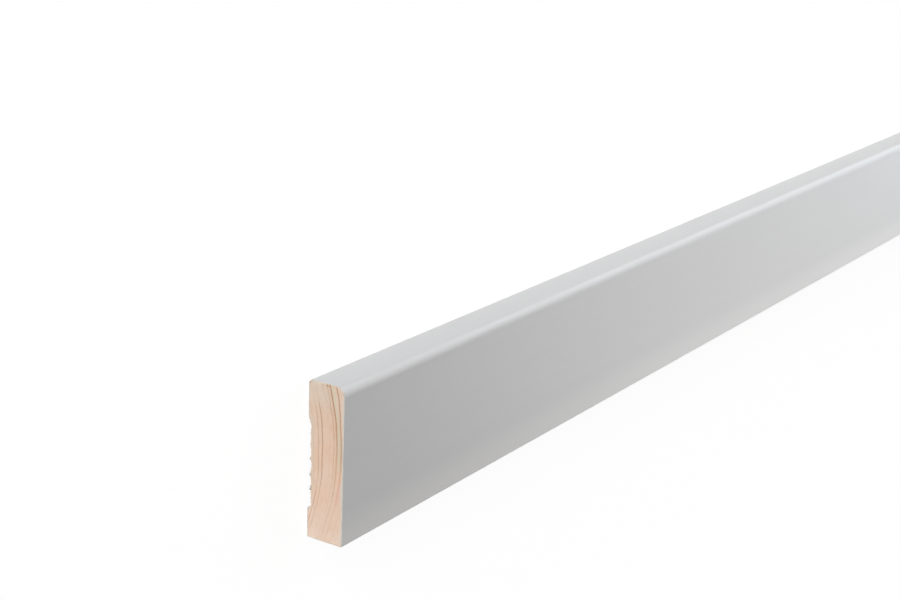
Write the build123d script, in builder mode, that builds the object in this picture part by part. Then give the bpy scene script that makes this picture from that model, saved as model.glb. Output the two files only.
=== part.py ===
from build123d import *
import os

# A painted pine architrave: one length of planed stock, lying on its back with the painted face up.
# X runs along the length and Y across the width, with the rounded arris on the +Y side.
# Z goes through the thickness. The origin is under the middle of the board, level with its back.
# All sizes are in millimetres.

# Stock
length = 2200.0
width = 58.0
thickness = 15.0

# Arrises
rounded_arris_radius = 3.5  # the long rounded arris, between the face and the +Y edge
sharp_arris_radius = 0.4  # the other face arris, only just broken by sanding
back_arris_chamfer = 1.0  # the back arris below the rounded one

# Hollow along the back, which lets the board sit flat over an uneven joint
hollow_depth = 1.5
rounded_side_land = 12.8  # flat back left between the hollow and the +Y edge
sharp_side_land = 11.0  # flat back left between the hollow and the -Y edge
rounded_side_slope = 4.0  # width of the hollow's long gentle side
sharp_side_slope = 1.2  # width of the hollow's short steep side

hollow_low_y = -width / 2 + sharp_side_land
hollow_high_y = width / 2 - rounded_side_land


with BuildPart() as architrave:
    # Planed stock, with its arrises worked
    with BuildSketch(Plane.YZ) as stock_section:
        Rectangle(width, thickness, align=(Align.CENTER, Align.MIN))
        face_corners = stock_section.vertices().group_by(Axis.Y)[-1].sort_by(Axis.X)
        fillet(face_corners[-1], radius=rounded_arris_radius)
        face_corners = stock_section.vertices().group_by(Axis.Y)[-1].sort_by(Axis.X)
        fillet(face_corners[0], radius=sharp_arris_radius)
        back_corners = stock_section.vertices().group_by(Axis.Y)[0].sort_by(Axis.X)
        chamfer(back_corners[-1], length=back_arris_chamfer)
    extrude(amount=length / 2, both=True)

    # Hollow, cut along the whole back
    with BuildSketch(Plane.YZ):
        with BuildLine():
            Polyline(
                (hollow_low_y, 0),
                (hollow_low_y + sharp_side_slope, hollow_depth),
                (hollow_high_y - rounded_side_slope, hollow_depth),
                (hollow_high_y, 0),
                close=True,
            )
        make_face()
    extrude(amount=length / 2, both=True, mode=Mode.SUBTRACT)

architrave.part.label = "architrave"

os.makedirs("parts", exist_ok=True)
export_step(architrave.part, "parts/architrave.step")
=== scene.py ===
import math
from collections import namedtuple

import bmesh
import bpy
import numpy as np
from bpy.props import FloatProperty, FloatVectorProperty, IntProperty, PointerProperty
from mathutils import Matrix, Vector, noise


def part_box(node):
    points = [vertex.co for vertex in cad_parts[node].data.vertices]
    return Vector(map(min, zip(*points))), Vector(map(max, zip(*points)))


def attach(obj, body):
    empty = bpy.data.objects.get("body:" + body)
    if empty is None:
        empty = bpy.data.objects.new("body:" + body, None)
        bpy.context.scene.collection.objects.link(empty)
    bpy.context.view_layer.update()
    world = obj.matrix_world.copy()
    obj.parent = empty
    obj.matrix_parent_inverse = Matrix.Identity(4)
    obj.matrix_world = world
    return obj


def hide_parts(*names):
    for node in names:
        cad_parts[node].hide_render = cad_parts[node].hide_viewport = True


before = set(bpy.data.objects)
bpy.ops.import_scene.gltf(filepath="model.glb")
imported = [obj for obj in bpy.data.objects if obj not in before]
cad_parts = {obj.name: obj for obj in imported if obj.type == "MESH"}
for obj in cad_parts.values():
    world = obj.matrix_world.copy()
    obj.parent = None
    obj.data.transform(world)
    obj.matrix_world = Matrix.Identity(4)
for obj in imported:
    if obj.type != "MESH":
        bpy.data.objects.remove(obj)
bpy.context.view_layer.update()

bl_info = {
    "name": "Painted pine architrave",
    "version": (1, 0, 0),
    "blender": (4, 5, 0),
    "location": "3D View > Sidebar > Architrave",
    "description": "Dresses a length of painted pine architrave and sets it on a pale studio floor",
    "category": "Add Mesh",
}

MM = 0.001
NODE = "architrave"
BODY = "root"
BAKE_MAP = "OFBake"
BOARD_LOW, BOARD_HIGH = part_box(NODE)
NEAR_END = BOARD_LOW.x
FAR_END = BOARD_HIGH.x

# Growth rings, from the back outwards: millimetres beyond the ring that touches the back, how wide the
# line of late wood is, and how dark.
RING_LINES = (
    (2.4, 0.5, 0.25),
    (4.6, 0.5, 0.45),
    (6.3, 0.5, 0.85),
    (9.3, 0.3, 0.15),
    (11.15, 0.5, 0.55),
    (12.5, 0.9, 0.85),
    (14.2, 0.6, 0.80),
    (16.6, 0.6, 0.65),
    (18.4, 0.4, 0.40),
    (20.3, 0.6, 0.60),
)
RING_SPAN = 23.0  # millimetres of growth, from the ring that touches the back to past the last line
LATE_WOOD_FALL = 0.16  # millimetres in which a line of late wood ends

# Marks on the sawn end: where each starts and ends across the board and how soft its borders are, in
# millimetres from the middle of the board, and how strong it is.
GREY_LIPS = ((16.2, 18.8, 0.3, 1.0), (22.5, 26.5, 0.5, 0.6), (-19.2, -17.4, 0.3, 1.0))
FILM_SWELLS = ((15, 24, 3, 0.5), (-13, -5, 1.5, 1.1), (-40, -17, 2, 0.3))

# The grey tufts in the hollow at each sawn end: millimetres from the middle of the board, how many fibres
# each has, and how far they scatter in millimetres.
TUFTS = ((0.2, 22, 0.22), (-5.6, 22, 0.26), (-10.9, 16, 0.6))

# A kind of torn fibre: which material it has, how thick it is beside a loose one, how deep it may start
# behind the sawn face in millimetres, and how far down it hangs as shares of the hollow's depth.
FibreKind = namedtuple("FibreKind", "material thickness deepest shortest longest")
LOOSE = FibreKind(material=0, thickness=1.0, deepest=0.5, shortest=0.25, longest=0.75)
TUFTED = FibreKind(material=1, thickness=1.3, deepest=0.15, shortest=0.5, longest=0.85)
FIBRE_SEED = 58
FIBRE_SIDES = 5
FIBRE_STEPS = 5
FIBRE_TAPER = 0.85

FLOOR_REACH = 60.0  # metres from the middle of the floor to its sides
FLOOR_DROP = 0.1 * MM  # keeps the floor just clear of the board's back


def painted(red, green, blue):
    """A colour as a paint card gives it, 0 to 255, turned into the light values that shaders use."""
    return tuple(((c / 255 + 0.055) / 1.055) ** 2.4 for c in (red, green, blue))


def length(name, description, size):
    """A property that holds a length in metres."""
    return FloatProperty(name=name, description=description, default=size, unit="LENGTH")


def share(name, description, size):
    """A property that holds a share from 0 to 1."""
    return FloatProperty(name=name, description=description, default=size, min=0, max=1, subtype="FACTOR")


def swatch(name, description, light):
    """A property that holds a colour."""
    return FloatVectorProperty(name=name, description=description, default=light, size=3, subtype="COLOR")


def point(name, description, place):
    """A property that holds a place in metres."""
    return FloatVectorProperty(
        name=name, description=description, default=place, size=3, subtype="TRANSLATION"
    )


class BoardSection(bpy.types.PropertyGroup):
    """Sizes of the board across its width."""

    rounded_arris_radius: length("Rounded arris", "Radius of the rounded long arris", 3.5 * MM)
    sharp_arris_radius: length("Sharp arris", "Radius of the long arris that is only broken", 0.4 * MM)
    back_arris_chamfer: length("Back chamfer", "Chamfer below the rounded arris", 1 * MM)
    hollow_depth: length("Hollow depth", "Depth of the hollow along the back", 1.5 * MM)
    rounded_side_land: length("Wide land", "Flat back beside the rounded edge", 12.8 * MM)
    sharp_side_land: length("Narrow land", "Flat back beside the sharp edge", 11 * MM)
    rounded_side_slope: length("Gentle slope", "Width of the hollow's gentle side", 4 * MM)
    sharp_side_slope: length("Steep slope", "Width of the hollow's steep side", 1.2 * MM)


class PaintFinish(bpy.types.PropertyGroup):
    """The factory paint on the face and the long edges."""

    colour: swatch("Paint", "Colour of the paint", painted(212, 213, 213))
    roughness: share("Roughness", "Satin sheen of the paint", 0.33)
    # Painted light: a lighter paint colour beside the sharp arris stands in for light that brightens that
    # side of the face.
    full_film: swatch("Full film", "Thicker paint beside the sharp arris", painted(225, 225, 224))
    film_edge: length("Film edge", "Width of the cut paint film seen on the sawn end", 0.5 * MM)
    film_colour: swatch("Cut film", "Colour of the cut paint film", painted(223, 214, 200))


class PineFinish(bpy.types.PropertyGroup):
    """The bare pine on the sawn ends and on the back."""

    early_wood: swatch("Early wood", "Colour of the pale wood", painted(241, 216, 196))
    late_wood: swatch("Late wood", "Colour of the dark ring lines", painted(180, 130, 88))
    warm_wood: swatch("Warm wood", "Clouds in the pale wood", painted(240, 209, 183))
    # Painted light: this pale colour lightens the foot of the sawn end beside the sharp side, where light
    # falls more strongly.
    fresh_cut: swatch("Fresh cut", "Pale foot of the sawn end", painted(255, 236, 218))
    pink_streak: swatch("Pink streak", "Streak in the outer rings", painted(236, 194, 174))
    pale_streak: swatch("Pale streak", "Streak beside the darkest ring", painted(218, 208, 182))
    stain: swatch("Saw stain", "Bruised wood along the sawn edge", painted(160, 108, 82))
    dust: swatch("Dusty rim", "Grey rim of the sawn end", painted(208, 198, 184))
    tuft: swatch("Tuft", "Grey tufts of fibre in the hollow", painted(98, 94, 78))
    pith_depth: length("Pith depth", "How far behind the back the tree's centre is", 72 * MM)
    pith_offset: length("Pith offset", "How far the tree's centre is to the rounded side", 5 * MM)
    ring_relief: length("Ring relief", "How far the saw left late wood proud", 0.04 * MM)
    burr_height: length("Saw burr", "Height of the torn edge in the hollow", 0.6 * MM)
    fibres: IntProperty(name="Torn fibres", description="Loose fibres at each sawn end", default=70, min=0)


class StudioSet(bpy.types.PropertyGroup):
    """Camera, sky and floor."""

    camera_place: point("Camera", "Where the camera stands", (NEAR_END - 0.4299, 0.224, 0.3345))
    camera_aim: point("Aim", "Floor point in the middle of the picture", (NEAR_END + 0.0853, 0.0368, 0))
    camera_roll: FloatProperty(
        name="Roll",
        description="How far the picture is turned from the board's width",
        default=math.radians(2.27),
        subtype="ANGLE",
    )
    lens: FloatProperty(name="Lens", description="Focal length", default=68.3, unit="CAMERA")
    floor_colour: swatch("Floor", "Colour of the floor", painted(236, 236, 236))
    sky_colour: swatch("Sky colour", "Tint of the even light from all round", (1, 0.93, 0.9))
    sky_level: share("Sky", "Level of the even light from all round", 0.1)


class Term:
    """A shader socket that can stand in a formula. Each operation adds a Math node."""

    def __init__(self, recipe, socket):
        self.recipe = recipe
        self.socket = socket

    def worked(self, operation, *values):
        """The result of one Math node on the values, which are terms or numbers."""
        inputs = dict(enumerate(values))
        return self.recipe.node("ShaderNodeMath", {"operation": operation}, inputs)["Value"]

    def __add__(self, other):
        return self.worked("ADD", self, other)

    def __sub__(self, other):
        return self.worked("SUBTRACT", self, other)

    def __rsub__(self, other):
        return self.worked("SUBTRACT", other, self)

    def __mul__(self, other):
        return self.worked("MULTIPLY", self, other)

    def __truediv__(self, other):
        return self.worked("DIVIDE", self, other)

    def __rtruediv__(self, other):
        return self.worked("DIVIDE", other, self)

    def __pow__(self, other):
        return self.worked("POWER", self, other)

    def __rpow__(self, other):
        return self.worked("POWER", other, self)

    __radd__ = __add__
    __rmul__ = __mul__


def sine(value):
    """The sine of a term or of numbers."""
    return value.worked("SINE", value) if isinstance(value, Term) else np.sin(value)


def larger(value, other):
    """The larger one of a term or number and another."""
    return value.worked("MAXIMUM", value, other) if isinstance(value, Term) else np.maximum(value, other)


def smaller(value, other):
    """The smaller one of a term or number and another."""
    return value.worked("MINIMUM", value, other) if isinstance(value, Term) else np.minimum(value, other)


def held(value):
    """A term or number held between 0 and 1."""
    return smaller(larger(value, 0.0), 1.0)


def distance(across, up):
    """Length of the slanted side of a right-angled triangle."""
    return (across * across + up * up) ** 0.5


def opaque(colour):
    """Three light values as a colour socket takes them. A term stays as it is."""
    return colour if isinstance(colour, Term) else (*colour, 1.0)


class Made:
    """A node whose outputs are read as terms."""

    def __init__(self, recipe, node):
        self.recipe = recipe
        self.node = node

    def __getitem__(self, output):
        return Term(self.recipe, self.node.outputs[output])


class Recipe:
    """A node tree filled in by plain calls."""

    def __init__(self, tree):
        self.tree = tree
        tree.nodes.clear()

    def node(self, kind, settings=None, inputs=None):
        """Adds a node: its settings come first, then the values or links of its sockets."""
        made = self.tree.nodes.new(kind)
        for name, value in (settings or {}).items():
            if name == "stops":
                self.set_stops(made.color_ramp, value)
            else:
                setattr(made, name, value)
        for name, value in (inputs or {}).items():
            if isinstance(value, Term):
                self.tree.links.new(value.socket, made.inputs[name])
            else:
                made.inputs[name].default_value = value
        return Made(self, made)

    @staticmethod
    def set_stops(ramp, stops):
        """Gives a ramp its stops, each a place from 0 to 1 and a grey."""
        while len(ramp.elements) < len(stops):
            ramp.elements.new(1.0)
        for element, (place, grey) in zip(ramp.elements, stops):
            element.position = place
            element.color = (grey, grey, grey, 1)

    def place(self):
        """The point on the surface as a vector in the board's own frame, in metres."""
        return self.node("ShaderNodeTexCoord")["Object"]

    def parts(self, vector):
        """The x, y and z of a vector."""
        parts = self.node("ShaderNodeSeparateXYZ", {}, {0: vector})
        return parts["X"], parts["Y"], parts["Z"]

    def noise(self, vector, per_metre, detail=2.0, roughness=0.5):
        """Cloudy noise from 0 to 1, with so many blobs to a metre along x, y and z."""
        stretched = self.node("ShaderNodeVectorMath", {"operation": "MULTIPLY"}, {0: vector, 1: per_metre})
        inputs = {"Vector": stretched["Vector"], "Scale": 1.0, "Detail": detail, "Roughness": roughness}
        return self.node("ShaderNodeTexNoise", {}, inputs)[0]

    def step(self, value, low, high):
        """Rises smoothly from 0 at low to 1 at high."""
        settings = {"interpolation_type": "SMOOTHSTEP"}
        return self.node("ShaderNodeMapRange", settings, {"Value": value, 1: low, 2: high})[0]

    def band(self, value, low, high, soft):
        """1 between low and high and 0 outside, with soft borders."""
        return self.step(value, low - soft, low + soft) * self.step(value, high + soft, high - soft)

    def bands(self, value, rows):
        """The sum of several bands, each a row of start, end and softness in millimetres, and strength."""
        total = 0.0
        for low, high, soft, strength in rows:
            total = total + self.band(value, low * MM, high * MM, soft * MM) * strength
        return total

    def blend(self, factor, first, second):
        """Mixes two colours, each a term or three light values."""
        inputs = {0: factor, 6: opaque(first), 7: opaque(second)}
        return self.node("ShaderNodeMix", {"data_type": "RGBA"}, inputs)[2]

    def bump(self, height, depth):
        """A surface normal from a height in metres times depth."""
        return self.node("ShaderNodeBump", {}, {"Height": height, "Distance": depth})["Normal"]

    def looked_at(self):
        """1 for what the camera, a shine or a clear thing sees, and 0 for light on the board."""
        path = self.node("ShaderNodeLightPath")
        return larger(path["Is Camera Ray"], larger(path["Is Glossy Ray"], path["Is Transmission Ray"]))

    def finish(self, kind, inputs):
        """Adds the shader and the output."""
        shader = self.node(kind, {}, inputs)
        self.node("ShaderNodeOutputMaterial", {}, {"Surface": shader[0]})


def new_recipe(name):
    """A new material and the recipe for its nodes."""
    material = bpy.data.materials.new(name)
    material.use_nodes = True
    return material, Recipe(material.node_tree)


def add_object(name, data):
    """Puts an object with the given data in the scene."""
    made = bpy.data.objects.new(name, data)
    bpy.context.scene.collection.objects.link(made)
    return made


def quarter_turn(steps):
    """Places from 0 to 1 that divide a quarter circle evenly, so they crowd towards 1."""
    return np.sin(np.linspace(0, math.pi / 2, steps + 1))


class Section:
    """The board's outline across its width."""

    SPACING = 0.3 * MM  # between the mesh's columns
    ROUNDED_STEPS = 14  # columns in the turn of the rounded arris
    BROKEN_STEPS = 3  # columns in the turn of the sharp arris

    def __init__(self, sizes):
        self.half = BOARD_HIGH.y
        self.thickness = BOARD_HIGH.z
        self.round = sizes.rounded_arris_radius
        self.sharp = sizes.sharp_arris_radius
        self.chamfer = sizes.back_arris_chamfer
        low = -self.half + sizes.sharp_side_land
        high = self.half - sizes.rounded_side_land
        self.hollow = (low, high)
        self.back_points = (
            (-self.half, 0.0),
            (low, 0.0),
            (low + sizes.sharp_side_slope, sizes.hollow_depth),
            (high - sizes.rounded_side_slope, sizes.hollow_depth),
            (high, 0.0),
            (self.half - self.chamfer, 0.0),
            (self.half, self.chamfer),
        )

    def columns(self):
        """Places across the width, evenly spaced, and closer together where an arris turns."""
        rounded = self.half - self.round + self.round * quarter_turn(self.ROUNDED_STEPS)
        broken = -self.half + self.sharp - self.sharp * quarter_turn(self.BROKEN_STEPS)
        corners = [y for y, _ in self.back_points]
        inner = [c for c in corners if broken[0] < c < rounded[0]]
        even = np.arange(broken[0] + self.SPACING, rounded[0], self.SPACING)
        kept = [y for y in even if min(abs(y - c) for c in corners) > self.SPACING / 3]
        return np.sort(np.concatenate([broken, kept, inner, rounded]))

    def face_height(self, y):
        """Height of the painted face at y."""
        into_round = np.clip(y - (self.half - self.round), 0, self.round)
        into_sharp = np.clip(self.sharp - self.half - y, 0, self.sharp)
        drop = self.round - np.sqrt(self.round**2 - into_round**2)
        drop += self.sharp - np.sqrt(self.sharp**2 - into_sharp**2)
        return self.thickness - drop

    def back_height(self, y):
        """Height of the back at y, above the floor."""
        places, heights = zip(*self.back_points)
        return np.interp(y, places, heights)

    def film_depth(self, y, z):
        """How far a point on the sawn end is from the painted outline. It works on numbers and on terms."""
        across = y - (self.half - self.round)
        up = z - (self.thickness - self.round)
        outside = distance(larger(across, 0.0), larger(up, 0.0))
        inside = smaller(larger(across, up), 0.0)
        from_round = self.round - (outside + inside)
        return smaller(from_round, y + self.half)

    def side_depth(self, y):
        """How far a point is from the nearer long edge. It works on numbers and on terms."""
        return self.half - larger(y, y * -1.0)


def ring_stops():
    """The growth rings as a ramp: late wood darkens slowly outwards and ends at a sharp line."""
    stops = [(0.0, 0.0)]
    for line, width, darkness in RING_LINES:
        stops += [
            ((line - width) / RING_SPAN, 0.0),
            (line / RING_SPAN, darkness),
            ((line + LATE_WOOD_FALL) / RING_SPAN, 0.0),
        ]
    return stops


def ring_place(pine, x, y, z):
    """How far out in the tree a point is, from 0 to 1 over RING_SPAN. It works on numbers and on terms."""
    # The tree's centre drifts slowly along the board, and the rings wander a little across it.
    along = x - NEAR_END
    across = y - pine.pith_offset - sine(along * 1.4) * 4 * MM
    up = z + pine.pith_depth + sine(along * 1.9) * 1.5 * MM
    wander = sine(y * 260 + x * 5) * 0.08 * MM + sine(y * 610 - x * 11 + 1.3) * 0.05 * MM
    # Near the back of the sharp side, the rings lie up to 1.2 mm nearer to the face.
    inner_bend = held(1 - z / (8 * MM)) * held(0.4 - y / (8 * MM)) * 1.2 * MM
    out = distance(across, up) + wander - inner_bend - pine.pith_depth
    # Near the face of the rounded side, they lie up to 0.9 mm nearer to it.
    outer_bend = held((out - 12.7 * MM) / (1.5 * MM)) * held((y - 16 * MM) / (8 * MM)) * 0.9 * MM
    return (out - outer_bend) / (RING_SPAN * MM)


def ragged(x, y, z, per_metre):
    """Smooth noise from -1 to 1 at a point, the same on every run."""
    return noise.noise(Vector((x, y, z)) * per_metre)


def end_relief(pine, section, x, y, z):
    """How far the sawn end lies inside the square cut at each of its points."""
    places, darkness = zip(*ring_stops())
    late = np.interp(ring_place(pine, x, y, z), places, darkness)
    torn = np.array([ragged(x, b, c, 2400) for b, c in zip(y, z)])
    saw_marks = 0.5 + 0.5 * np.sin(y / (0.9 * MM) + z / (6 * MM))
    sunk = pine.ring_relief * (1 - late) + 0.02 * MM * (torn + 1) + 0.015 * MM * saw_marks
    to_edge = np.minimum(section.film_depth(y, z), z - section.back_height(y))
    worn = held(1 - to_edge / (0.35 * MM)) ** 2 * 0.06 * MM
    # The chips along the rounded side's edge change with the height alone, so their noise is read at one y.
    near_edge = held(1 - (section.half - y) / (0.9 * MM))
    chips = np.array([max(0.0, ragged(x, 7, c, 850)) for c in z]) * near_edge * 0.9 * MM
    worn_corner = held(1 - (y + section.half) / (2.5 * MM)) ** 2 * held(1 - z / (5 * MM)) * 0.2 * MM
    return sunk + worn + chips + worn_corner


def saw_burr(pine, section, x, y):
    """How far the back's edge hangs into the hollow at a sawn end."""
    low, high = section.hollow
    within = held(np.minimum(y - low, high - y) / (1.5 * MM))
    clumps = held(np.array([0.5 + ragged(x, b, 0, 260) for b in y]) * 1.4)
    teeth = np.array([0.6 + 0.6 * ragged(x, b, 3, 1900) for b in y])
    side = np.clip((y + 14 * MM) / (8 * MM), 0.45, 1.35)
    return pine.burr_height * within * clumps * teeth * side


def stations(first, growth, longest):
    """Places along the board, from end to end, closer together near the sawn ends."""
    half = (FAR_END - NEAR_END) / 2
    steps = [0.0]
    step = first
    while steps[-1] + step < half - longest:
        steps.append(steps[-1] + step)
        step = min(step * growth, longest)
    near = np.array(steps)
    gap = 2 * (half - near[-1])
    middle = near[-1] + np.linspace(0, gap, 2 + math.ceil(gap / longest))
    return NEAR_END + np.concatenate([near, middle[1:-1], 2 * half - near[::-1]])


class BoardMesh:
    """The board's mesh: a skin along its length and a fine grid on each sawn end."""

    ROWS = 46  # from the back to the face
    FIRST_STEP = 0.3 * MM  # along the board, beside each sawn end
    STEP_GROWTH = 1.4
    LONGEST_STEP = 60 * MM
    BURR_LENGTH = 1.6 * MM  # how far along the board the torn edge of the hollow runs out
    RELIEF_LENGTH = 8 * MM  # how far along the board the relief of the sawn end is taken up
    SHARP_ANGLE = math.radians(14)  # an edge that turns further looks sharp
    PAINTED, BARE, SAWN = range(3)  # the order of the materials

    # Left, right, bottom and top of each surface on the bake map
    NEAR_END_PATCH = (0.005, 0.495, 0.8, 0.995)
    FAR_END_PATCH = (0.505, 0.995, 0.8, 0.995)
    SKIN_PATCH = (0.005, 0.995, 0.005, 0.785)

    def __init__(self, section, pine):
        self.section = section
        self.pine = pine
        self.y = section.columns()
        self.low = section.back_height(self.y)
        self.high = section.face_height(self.y)
        self.x = stations(self.FIRST_STEP, self.STEP_GROWTH, self.LONGEST_STEP)
        self.vertices = []
        self.faces = []
        self.materials = []
        self.corners = []

    def add(self, numbers, ring, material, places):
        """Adds one face: where its vertices stand among the numbers, and their places on the bake map."""
        self.faces.append([int(numbers[k]) for k in ring])
        self.materials.append(material)
        self.corners += places

    def end_grid(self, end, inwards, patch):
        """Adds one sawn end. patch is its place on the bake map. Returns the numbers of its vertices."""
        upwards = np.linspace(0, 1, self.ROWS)
        y = np.repeat(self.y[:, None], self.ROWS, 1)
        z = self.low[:, None] + upwards * (self.high - self.low)[:, None]
        z[:, 0] -= saw_burr(self.pine, self.section, end, self.y)
        relief = end_relief(self.pine, self.section, end, y.ravel(), z.ravel())
        numbers = len(self.vertices) + np.arange(y.size).reshape(y.shape)
        self.vertices += list(zip(end + inwards * relief, y.ravel(), z.ravel()))
        left, right, bottom, top = patch
        u = left + (right - left) * (y + self.section.half) / (2 * self.section.half)
        v = bottom + (top - bottom) * z / self.section.thickness
        for i in range(len(self.y) - 1):
            for j in range(self.ROWS - 1):
                ring = [(i, j), (i, j + 1), (i + 1, j + 1), (i + 1, j)]
                if inwards < 0:
                    ring.reverse()
                self.add(numbers, ring, self.SAWN, [(u[k], v[k]) for k in ring])
        return numbers

    def outline(self):
        """The rim of the end grid in order, as pairs of column and row, and what covers each side."""
        last_column, last_row = len(self.y) - 1, self.ROWS - 1
        back = [(i, 0) for i in range(last_column)]
        edge = [(last_column, j) for j in range(last_row)]
        face = [(i, last_row) for i in range(last_column, 0, -1)]
        other = [(0, j) for j in range(last_row, 0, -1)]
        chamfer_start = np.searchsorted(self.y, self.section.half - self.section.chamfer)
        covers = [self.BARE if i < chamfer_start else self.PAINTED for i, _ in back]
        covers += [self.PAINTED] * (len(edge) + len(face) + len(other))
        return back + edge + face + other, covers

    def skin_rows(self, rim, y, z, near, far):
        """Adds a row of vertices round the board at each station. Returns the numbers of all rows."""
        numbers = np.zeros((len(self.x), len(rim)), int)
        numbers[0] = [near[k] for k in rim]
        numbers[-1] = [far[k] for k in rim]
        on_back = np.array([j == 0 for _, j in rim])
        relief = {}
        burr = {}
        for end, row in ((NEAR_END, numbers[0]), (FAR_END, numbers[-1])):
            relief[end] = np.array([abs(self.vertices[k][0] - end) for k in row])
            burr[end] = saw_burr(self.pine, self.section, end, y) * on_back
        for s, x in enumerate(self.x[1:-1], 1):
            end, inwards = (NEAR_END, 1) if x - NEAR_END < FAR_END - x else (FAR_END, -1)
            away = abs(x - end)
            pushed = inwards * relief[end] * max(0.0, 1 - away / self.RELIEF_LENGTH)
            hanging = burr[end] * max(0.0, 1 - away / self.BURR_LENGTH) ** 2
            numbers[s] = len(self.vertices) + np.arange(len(rim))
            self.vertices += list(zip(x + pushed, y, z - hanging))
        return numbers

    def skin(self, near, far, patch):
        """Adds the long surfaces between the two sawn ends. patch is their place on the bake map."""
        rim, covers = self.outline()
        y = np.array([self.y[i] for i, _ in rim])
        upwards = np.array([j for _, j in rim]) / (self.ROWS - 1)
        low = self.section.back_height(y)
        z = low + upwards * (self.section.face_height(y) - low)
        numbers = self.skin_rows(rim, y, z, near, far)
        around = np.hypot(np.diff(y, append=y[0]), np.diff(z, append=z[0])).cumsum()
        around = np.concatenate([[0], around]) / around[-1]
        left, right, bottom, top = patch
        u = np.linspace(left, right, len(self.x))
        v = bottom + (top - bottom) * around
        for s in range(len(self.x) - 1):
            for k in range(len(rim)):
                after = (k + 1) % len(rim)
                ring = [(s, k), (s + 1, k), (s + 1, after), (s, after)]
                places = [(u[s], v[k]), (u[s + 1], v[k]), (u[s + 1], v[k + 1]), (u[s], v[k + 1])]
                self.add(numbers, ring, covers[k], places)

    def build(self, name, materials):
        """Makes the mesh object."""
        near = self.end_grid(NEAR_END, 1, self.NEAR_END_PATCH)
        far = self.end_grid(FAR_END, -1, self.FAR_END_PATCH)
        self.skin(near, far, self.SKIN_PATCH)
        mesh = bpy.data.meshes.new(name)
        mesh.from_pydata(self.vertices, [], self.faces)
        for material in materials:
            mesh.materials.append(material)
        mesh.polygons.foreach_set("material_index", self.materials)
        bake_map = mesh.uv_layers.new(name=BAKE_MAP)
        bake_map.uv.foreach_set("vector", np.array(self.corners, np.float32).ravel())
        mesh.polygons.foreach_set("use_smooth", [True] * len(self.faces))
        mesh.set_sharp_from_angle(angle=self.SHARP_ANGLE)
        mesh.validate()
        return add_object(name, mesh)


def paint_material(look):
    """Satin paint: nearly even, with faint clouds, the grain just telling through, a fine stipple and painted
    light beside the sharp arris.
    """
    material, paint = new_recipe("satin_white_paint")
    vector = paint.place()
    _, y, z = paint.parts(vector)
    cloud = paint.noise(vector, (9, 60, 60), 3)
    grain = paint.noise(vector, (14, 1500, 1500), 3, 0.6)
    stipple = paint.noise(vector, (1300, 1300, 1300))
    # The clouds turn the paint a little darker and lighter.
    darker = [c * 0.975 for c in look.colour]
    lighter = [min(1.0, c * 1.02) for c in look.colour]
    colour = paint.blend(paint.step(cloud * 0.6 + grain * 0.4, 0.25, 0.75), darker, lighter)
    # Painted light: the paint turns lighter towards the sharp arris, standing in for light on that side of
    # the face.
    painted_light_mask = paint.step(y, -14 * MM, -27 * MM) * paint.step(z, 13 * MM, 14.5 * MM)
    paint.finish(
        "ShaderNodeBsdfPrincipled",
        {
            "Base Color": paint.blend(painted_light_mask, colour, look.full_film),
            "Roughness": (stipple - 0.5) * 0.08 + (cloud - 0.5) * 0.06 + look.roughness,
            "IOR": 1.5,
            "Normal": paint.bump(grain * 0.5 + stipple * 0.5, 0.012 * MM),
        },
    )
    return material


def late_wood(wood, vector, ring, y, z):
    """How strong the dark ring lines are, from 0 to 1. ring is how far out a point is, in millimetres."""
    fine = wood.noise(vector, (30, 900, 900))
    place = ring / RING_SPAN + (fine - 0.5) * 0.012
    ramp = wood.node("ShaderNodeValToRGB", {"stops": ring_stops()}, {0: place})
    lines = wood.node("ShaderNodeSeparateColor", {}, {0: ramp[0]})[0]
    inner = wood.step(ring, 10.0, 8.5)
    inner_strength = wood.step(y, -12 * MM, -1 * MM) * 0.6 + 0.4
    inner_strength = inner_strength * (1 - wood.step(y, 19 * MM, 24 * MM) * 0.7)
    outer_strength = wood.step(y, -20 * MM, 26 * MM) + 0.2
    lines = lines * (inner * inner_strength + (1 - inner) * outer_strength)
    split = wood.band(ring, 4.35, 4.7, 0.15) * wood.step(y, -6 * MM, -12 * MM) * 0.5
    slant = wood.band((y - 18.5 * MM) * 0.47 + z, 9.6 * MM, 10.0 * MM, 0.25 * MM)
    slant = slant * wood.step(y, 14 * MM, 20 * MM) * 0.3
    return larger(lines, larger(split, slant))


def ring_colour(wood, pine, vector):
    """The colour of early and late wood, with a pink and a pale streak, and how strong the late wood is."""
    x, y, z = wood.parts(vector)
    ring = ring_place(pine, x, y, z) * RING_SPAN
    late = late_wood(wood, vector, ring, y, z)
    tone = wood.noise(vector, (8, 120, 160))
    pale = wood.blend(wood.step(tone, 0.4, 0.68) * 0.7, pine.early_wood, pine.warm_wood)
    fibrous = wood.noise(vector, (30, 330, 2300), 3, 0.6)
    darker = wood.step(fibrous, 0.45, 0.85) * 0.3 + wood.step(y, -30 * MM, 24 * MM) * 0.12
    pale = wood.blend(darker, pale, pine.late_wood)
    pink = wood.band(ring, 13.4, 15.4, 0.25) * wood.band(y, -15 * MM, -3 * MM, 2.5 * MM)
    pale = wood.blend(pink * wood.step(tone, 0.3, 0.5) * 0.6, pale, pine.pink_streak)
    sap_end = 13.7 - wood.step(y, 15 * MM, 22 * MM) * 0.55
    sap = wood.band(ring, 12.75, sap_end, 0.12) * wood.step(y, -4 * MM, 4 * MM)
    pale = wood.blend(sap * 0.8, pale, pine.pale_streak)
    return wood.blend(late, pale, pine.late_wood), late


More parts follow.
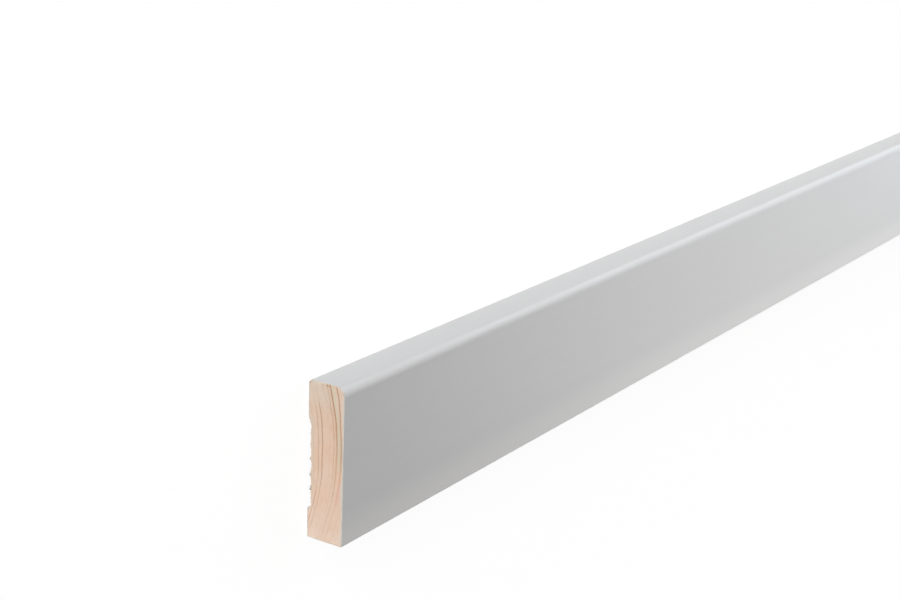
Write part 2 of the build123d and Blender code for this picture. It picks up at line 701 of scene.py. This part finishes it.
def back_material(pine, paint, section):
    """Planed bare pine: long grain, faint knife marks and a mist of paint along the outer arrises."""
    material, wood = new_recipe("planed_bare_pine")
    vector = wood.place()
    x, y, _ = wood.parts(vector)
    colour, late = ring_colour(wood, pine, vector)
    fibre = wood.noise(vector, (25, 2600, 2600), 3, 0.6)
    streaks = wood.noise(vector, (7, 1100, 1100), 4, 0.65)
    colour = wood.blend(wood.step(streaks, 0.45, 0.8) * 0.35, colour, pine.late_wood)
    knife_pitch = 2.2 * MM
    knife = sine(x * (2 * math.pi / knife_pitch))
    drift = wood.noise(vector, (160, 900, 900), 3, 0.65)
    mist = wood.step(section.side_depth(y) + (drift - 0.5) * 3 * MM, 2.6 * MM, 0.4 * MM)
    wood.finish(
        "ShaderNodeBsdfPrincipled",
        {
            "Base Color": wood.blend(mist * 0.85, colour, paint.colour),
            "Roughness": 0.74 - late * 0.12 + (fibre - 0.5) * 0.1,
            "Normal": wood.bump(fibre * 0.7 + late * 0.2 + knife * 0.12, 0.05 * MM),
        },
    )
    return material


class SawnEnd:
    """The finish of the sawn end: the growth rings, and the marks that are laid over them in turn.

    A mark's place is given by y, which runs from the middle of the board towards the rounded side, and by z,
    which runs from the back to the face."""

    def __init__(self, wood, pine, paint, section):
        self.wood = wood
        self.pine = pine
        self.paint = paint
        self.section = section
        vector = wood.place()
        _, self.y, self.z = wood.parts(vector)
        self.colour, self.late = ring_colour(wood, pine, vector)
        self.patches = wood.noise(vector, (40, 700, 700))
        self.pores = wood.noise(vector, (900, 3000, 3000))
        self.scratches = wood.noise(vector, (20, 260, 2400))

    def lay(self, mask, colour):
        """Lays a colour over what is there, as strongly as the mask says."""
        self.colour = self.wood.blend(mask, self.colour, colour)

    def frayed(self, place, width):
        """A place that wanders, so that a border drawn with it is frayed over the width."""
        return place + (self.patches - 0.5) * width

    def weather(self):
        """Dust on the back's rim and the hollow's, greyer wood at the rounded side and painted light on the
        foot beside the sharp side.
        """
        wood, y, z = self.wood, self.y, self.z
        rim = wood.step(self.frayed(z, 1.2 * MM), 0.75 * MM, 0.2 * MM)
        self.lay(rim * 0.8, self.pine.dust)
        greyer = wood.step(y, 13 * MM, 25 * MM) * (1 - self.late)
        self.lay(greyer * (wood.step(z, 11 * MM, 8 * MM) * 0.2 + 0.25), self.paint.film_colour)
        # Painted light: the foot of the sawn end beside the sharp side is made paler, standing in for
        # stronger light there.
        foot = wood.step(y, -23.5 * MM, -27 * MM)
        self.lay(foot * (wood.step(z, 4.5 * MM, 1.5 * MM) * 0.2 + 0.2), self.pine.fresh_cut)
        low, high = self.section.hollow
        hollow_rim = wood.step(self.frayed(z, 1.2 * MM), 3 * MM, 1.8 * MM)
        self.lay(hollow_rim * wood.band(y, low, high, 0.8 * MM) * 0.5, self.paint.film_colour)

    def bruise(self):
        """Bruised wood along the middle of the rounded side's edge, and a smear of paint nearer the back."""
        wood, z, half = self.wood, self.z, self.section.half
        bruised = wood.step(half - self.frayed(self.y, 1.4 * MM), 1.1 * MM, 0.2 * MM)
        bruised = bruised * wood.step(self.patches, 0.46, 0.6) * wood.band(z, 5.5 * MM, 10.5 * MM, 0.8 * MM)
        self.lay(bruised * 0.7, self.pine.stain)
        smeared = wood.step(half - self.frayed(self.y, 1.6 * MM), 1.9 * MM, 0.5 * MM)
        self.lay(smeared * wood.band(z, 1.3 * MM, 5.6 * MM, 0.6 * MM) * 0.75, self.paint.film_colour)

    def mark_rims(self):
        """Grey lips on the back's flat lands, a stained back corner and flakes of paint on both edges."""
        wood, y, section = self.wood, self.y, self.section
        fuzz = wood.step(self.frayed(self.z, 0.8 * MM), 1.3 * MM, 0.7 * MM)
        self.lay(wood.bands(y, GREY_LIPS) * fuzz * 0.6, self.paint.film_colour)
        corner = wood.step(y - self.z, section.half - 1.9 * MM, section.half - 1.1 * MM)
        self.lay(corner * 0.75, self.pine.stain)
        flakes = wood.step(section.side_depth(y), 0.5 * MM, 0.2 * MM)
        self.lay(flakes * wood.step(self.patches, 0.44, 0.58) * 0.8, self.paint.film_colour)

    def cut_film(self):
        """The cut edge of the paint: a seam round the rounded arris, and a film along the face.

        The film is wider at its swells, and thin over a painted shadow line near the middle."""
        wood, y, z, section = self.wood, self.y, self.z, self.section
        # Painted shadow: a dark grey line just under the face along the middle of the end, where the film is
        # also narrower.
        thin = wood.band(y, -1 * MM, 11 * MM, 2 * MM)
        self.lay(thin * wood.band(z, 14.0 * MM, 14.8 * MM, 0.1 * MM) * 0.2, self.pine.tuft)
        seam = wood.step(section.film_depth(y, z), 0.9 * MM, 0.3 * MM) * wood.step(y, 24 * MM, 27 * MM)
        self.lay(seam * wood.band(z, 11.5 * MM, 15 * MM, 0.5 * MM) * 0.5, self.paint.film_colour)
        width = (self.patches * 0.8 + 0.6 + wood.bands(y, FILM_SWELLS) - thin * 0.2) * self.paint.film_edge
        below = section.thickness - z - width + (self.pores - 0.5) * 0.2 * MM
        before_arris = wood.step(y, section.half - 1.8 * MM, section.half - 4.5 * MM)
        self.lay(wood.step(below, 0.12 * MM, -0.12 * MM) * before_arris, self.paint.film_colour)


def end_material(pine, paint, section):
    """The sawn end: rings, saw scratches, a bruised and dusty rim and the cut edge of the paint film."""
    material, wood = new_recipe("sawn_end_grain")
    end = SawnEnd(wood, pine, paint, section)
    end.weather()
    end.bruise()
    end.mark_rims()
    end.cut_film()
    wood.finish(
        "ShaderNodeBsdfPrincipled",
        {
            "Base Color": end.colour,
            "Roughness": 0.86 - end.late * 0.1,
            "Normal": wood.bump(end.pores * 0.6 + end.scratches * 0.4, 0.05 * MM),
        },
    )
    return material


def fibre_material(name, first, second):
    """Torn fibres, mottled between two colours."""
    material, wood = new_recipe(name)
    mottle = wood.noise(wood.place(), (1500, 1500, 1500))
    colour = wood.blend(wood.step(mottle, 0.3, 0.7), first, second)
    wood.finish("ShaderNodeBsdfPrincipled", {"Base Color": colour, "Roughness": 0.9})
    return material


def on_the_board(piece):
    """Ties a piece to the board's body."""
    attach(piece, BODY)


class ARCHITRAVE_OT_make_board(bpy.types.Operator):
    """Make the board with its paint, its bare back and its sawn ends"""

    bl_idname = "architrave.make_board"
    bl_label = "Make painted board"

    def execute(self, context):
        scene = context.scene
        section = Section(scene.architrave_section)
        pine, paint = scene.architrave_pine, scene.architrave_paint
        materials = (
            paint_material(paint),
            back_material(pine, paint, section),
            end_material(pine, paint, section),
        )
        board = BoardMesh(section, pine).build("painted_board", materials)
        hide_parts(NODE)
        on_the_board(board)
        return {"FINISHED"}


def add_fibre(mesh, root, tip, bend, radius, material):
    """Adds one torn fibre: a thin tapered strand that curls from root to tip."""
    turns = [2 * math.pi * k / FIBRE_SIDES for k in range(FIBRE_SIDES)]
    rings = []
    for s in range(FIBRE_STEPS + 1):
        t = s / FIBRE_STEPS
        bowed = 4 * t * (1 - t)  # 0 at both ends and 1 halfway
        centre = root.lerp(tip, t) + bend * bowed
        size = radius * (1 - FIBRE_TAPER * t)
        rings.append([mesh.verts.new(centre + Vector((math.cos(a), math.sin(a), 0)) * size) for a in turns])
    faces = [mesh.faces.new(rings[0]), mesh.faces.new(rings[-1][::-1])]
    for low, high in zip(rings, rings[1:]):
        for k in range(FIBRE_SIDES):
            after = (k + 1) % FIBRE_SIDES
            faces.append(mesh.faces.new((low[k], high[k], high[after], low[after])))
    for face in faces:
        face.material_index = material


def fibre_spots(chance, loose_fibres, section):
    """Where fibres hang at a sawn end, as places across the board, and of what kind each is."""
    low, high = section.hollow
    spots = [(chance.uniform(low + 0.8 * MM, high - 1.5 * MM), LOOSE) for _ in range(loose_fibres)]
    for middle, count, scatter in TUFTS:
        spots += [(chance.normal(middle, scatter) * MM, TUFTED) for _ in range(count)]
    return spots


def hang_fibre(mesh, chance, section, end, inwards, y, kind):
    """Adds a fibre of that kind, which starts behind the sawn face and hangs into the hollow."""
    back = float(section.back_height(y))
    radius = chance.uniform(0.05, 0.12) * kind.thickness * MM
    behind = radius + chance.uniform(0.02, kind.deepest) * MM
    root = Vector((end + inwards * behind, y, back + 0.1 * MM))
    hang = chance.uniform(kind.shortest, kind.longest) * back
    lean = Vector((inwards * chance.uniform(0, 0.4), chance.uniform(-0.4, 0.4), 0)) * MM
    tip = root + lean - Vector((0, 0, hang))
    bend = Vector((inwards * chance.uniform(0, 0.15), chance.uniform(-0.2, 0.2), 0)) * MM
    add_fibre(mesh, root, tip, bend, radius, kind.material)


class ARCHITRAVE_OT_make_torn_fibres(bpy.types.Operator):
    """Make the loose fibres and the grey tufts that the saw tore at the back of each end"""

    bl_idname = "architrave.make_torn_fibres"
    bl_label = "Make torn fibres"

    def execute(self, context):
        scene = context.scene
        section = Section(scene.architrave_section)
        pine = scene.architrave_pine
        chance = np.random.default_rng(FIBRE_SEED)
        spots = fibre_spots(chance, pine.fibres, section)
        mesh = bmesh.new()
        for end, inwards in ((NEAR_END, 1), (FAR_END, -1)):
            for y, kind in spots:
                hang_fibre(mesh, chance, section, end, inwards, y, kind)
        data = bpy.data.meshes.new("torn_fibres")
        mesh.to_mesh(data)
        mesh.free()
        data.materials.append(fibre_material("torn_pine_fibre", pine.early_wood, pine.dust))
        data.materials.append(fibre_material("grey_pine_tuft", pine.tuft, pine.dust))
        on_the_board(add_object("torn_fibres", data))
        return {"FINISHED"}


def add_lamp(name, turn, rise, softness, level, colour=(1, 1, 1), glints=True):
    """Adds an even lamp. turn is its compass angle from the board's far end, rise its height and softness its
    width, all in degrees. A level of 1 shows a white sheet that faces the lamp as white. A lamp without
    glints lights the paint but doesn't shine in it."""
    lamp = bpy.data.lights.new(name, "SUN")
    lamp.color = colour
    lamp.energy = level * math.pi
    lamp.angle = math.radians(softness)
    carrier = add_object(name, lamp)
    carrier.rotation_euler = (0, math.radians(90 - rise), math.radians(turn))
    carrier.location.z = 1
    carrier.visible_glossy = glints


def add_camera(studio):
    """The photograph's camera: the board's width runs nearly up the picture."""
    place, aim = Vector(studio.camera_place), Vector(studio.camera_aim)
    away = (aim - place).normalized()
    right = away.cross(Vector((0, 1, 0))).normalized()
    up = right.cross(away)
    upright = Matrix((right, up, -away)).transposed()
    turned = upright @ Matrix.Rotation(studio.camera_roll, 3, "Z")
    camera = add_object("camera", bpy.data.cameras.new("camera"))
    camera.matrix_world = Matrix.Translation(place) @ turned.to_4x4()
    camera.data.lens = studio.lens
    camera.data.clip_start = 10 * MM
    bpy.context.scene.camera = camera


def floor_material(colour):
    """A pale floor that the camera sees as nearly all white, with the shadow on it kept."""
    material, floor = new_recipe("studio_floor")
    whiteness, glow = 0.85, 1.1
    matt = floor.node("ShaderNodeBsdfDiffuse", {}, {"Color": opaque(colour)})[0]
    white = floor.node("ShaderNodeEmission", {}, {"Strength": glow})[0]
    floor.finish("ShaderNodeMixShader", {0: floor.looked_at() * whiteness, 1: matt, 2: white})
    return material


def set_sky(scene, colour, level):
    """Even light of the given colour and level, and white where the camera or a shine looks."""
    scene.world = bpy.data.worlds.new("studio")
    scene.world.use_nodes = True
    sky = Recipe(scene.world.node_tree)
    light = sky.node("ShaderNodeBackground", {}, {"Color": opaque(colour), "Strength": level})[0]
    white = sky.node("ShaderNodeBackground", {}, {"Color": (1, 1, 1, 1), "Strength": 1.0})[0]
    mixed = sky.node("ShaderNodeMixShader", {}, {0: sky.looked_at(), 1: light, 2: white})
    sky.node("ShaderNodeOutputWorld", {}, {"Surface": mixed[0]})


class ARCHITRAVE_OT_set_studio(bpy.types.Operator):
    """Set the floor, the light and the camera round the board"""

    bl_idname = "architrave.set_studio"
    bl_label = "Set studio"

    def execute(self, context):
        scene = context.scene
        studio = scene.architrave_studio
        mesh = bmesh.new()
        bmesh.ops.create_grid(mesh, x_segments=1, y_segments=1, size=FLOOR_REACH)
        data = bpy.data.meshes.new("floor")
        mesh.to_mesh(data)
        mesh.free()
        data.materials.append(floor_material(studio.floor_colour))
        floor = add_object("floor", data)
        floor.location.z = -FLOOR_DROP
        add_lamp(
            "key_lamp", turn=143, rise=12, softness=40, level=0.965, colour=(0.98, 0.985, 1), glints=False
        )
        add_lamp("arris_lamp", turn=38, rise=10, softness=36, level=0.105, colour=(0.97, 1, 0.99))
        add_lamp("far_lamp", turn=12, rise=10, softness=50, level=0.282, colour=(0.81, 0.93, 1))
        add_lamp("face_lamp", turn=-18, rise=24, softness=16, level=0.045)
        add_lamp("high_lamp", turn=15, rise=45, softness=50, level=0.15, colour=(1, 0.92, 0.88))
        set_sky(scene, studio.sky_colour, studio.sky_level)
        add_camera(studio)
        scene.view_settings.view_transform = "Standard"
        return {"FINISHED"}


class ARCHITRAVE_PT_sidebar(bpy.types.Panel):
    """The architrave's sizes, finishes and pieces"""

    bl_idname = "ARCHITRAVE_PT_sidebar"
    bl_label = "Architrave"
    bl_space_type = "VIEW_3D"
    bl_region_type = "UI"
    bl_category = "Architrave"

    def draw(self, context):
        for name in GROUPS:
            box = self.layout.box()
            group = getattr(context.scene, name)
            for prop in group.bl_rna.properties:
                if prop.identifier in group.__annotations__:
                    box.prop(group, prop.identifier)
        for operator in OPERATORS:
            self.layout.operator(operator.bl_idname)


GROUPS = {
    "architrave_section": BoardSection,
    "architrave_paint": PaintFinish,
    "architrave_pine": PineFinish,
    "architrave_studio": StudioSet,
}
OPERATORS = (ARCHITRAVE_OT_make_board, ARCHITRAVE_OT_make_torn_fibres, ARCHITRAVE_OT_set_studio)
CLASSES = (*GROUPS.values(), *OPERATORS, ARCHITRAVE_PT_sidebar)


def register():
    """Registers the classes and gives the scene its groups of sizes and colours."""
    for kind in CLASSES:
        bpy.utils.register_class(kind)
    for name, group in GROUPS.items():
        setattr(bpy.types.Scene, name, PointerProperty(type=group))


def unregister():
    """Takes the groups and the classes away again."""
    for name in GROUPS:
        delattr(bpy.types.Scene, name)
    for kind in reversed(CLASSES):
        bpy.utils.unregister_class(kind)


def main():
    """Makes the board, its fibres and the studio."""
    register()
    bpy.ops.architrave.make_board()
    bpy.ops.architrave.make_torn_fibres()
    bpy.ops.architrave.set_studio()


if __name__ == "__main__":
    main()
